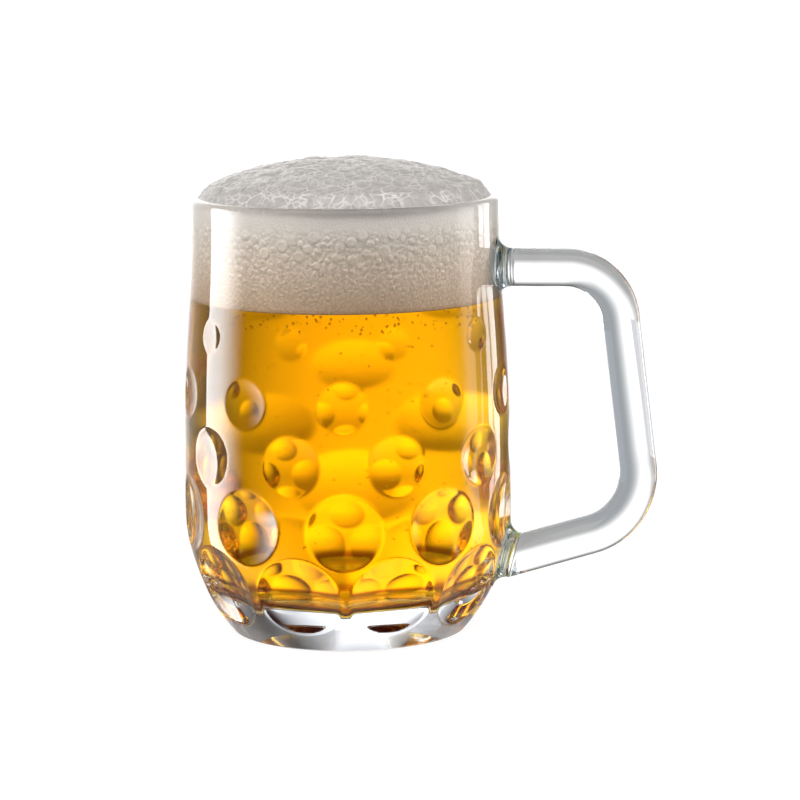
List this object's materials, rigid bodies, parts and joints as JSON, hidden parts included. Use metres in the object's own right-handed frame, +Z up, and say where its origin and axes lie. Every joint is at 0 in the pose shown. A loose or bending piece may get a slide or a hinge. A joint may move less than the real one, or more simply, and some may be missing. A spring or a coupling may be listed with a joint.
{
  "type": "dimpled glass beer mug",
  "caption": "Half-litre glass beer mug with dimpled sides, a thick clear base and a fused rod handle, filled with beer under a domed foam head.",
  "frame": {"origin": "centre of the flat underside, on the axis of the mug", "axes": "+Z up along the axis of the mug, +X towards the handle"},
  "size_m": [0.1428, 0.0986, 0.143],
  "materials": {
    "glass": "clear, polished",
    "beer": "clear amber liquid",
    "foam": "fine white froth"
  },
  "bodies": {
    "root": {"mug_body": "glass", "upper_handle_pad": "glass", "lower_handle_pad": "glass", "handle": "glass", "beer": "beer", "foam_head": "foam"}
  },
  "joints": []
}
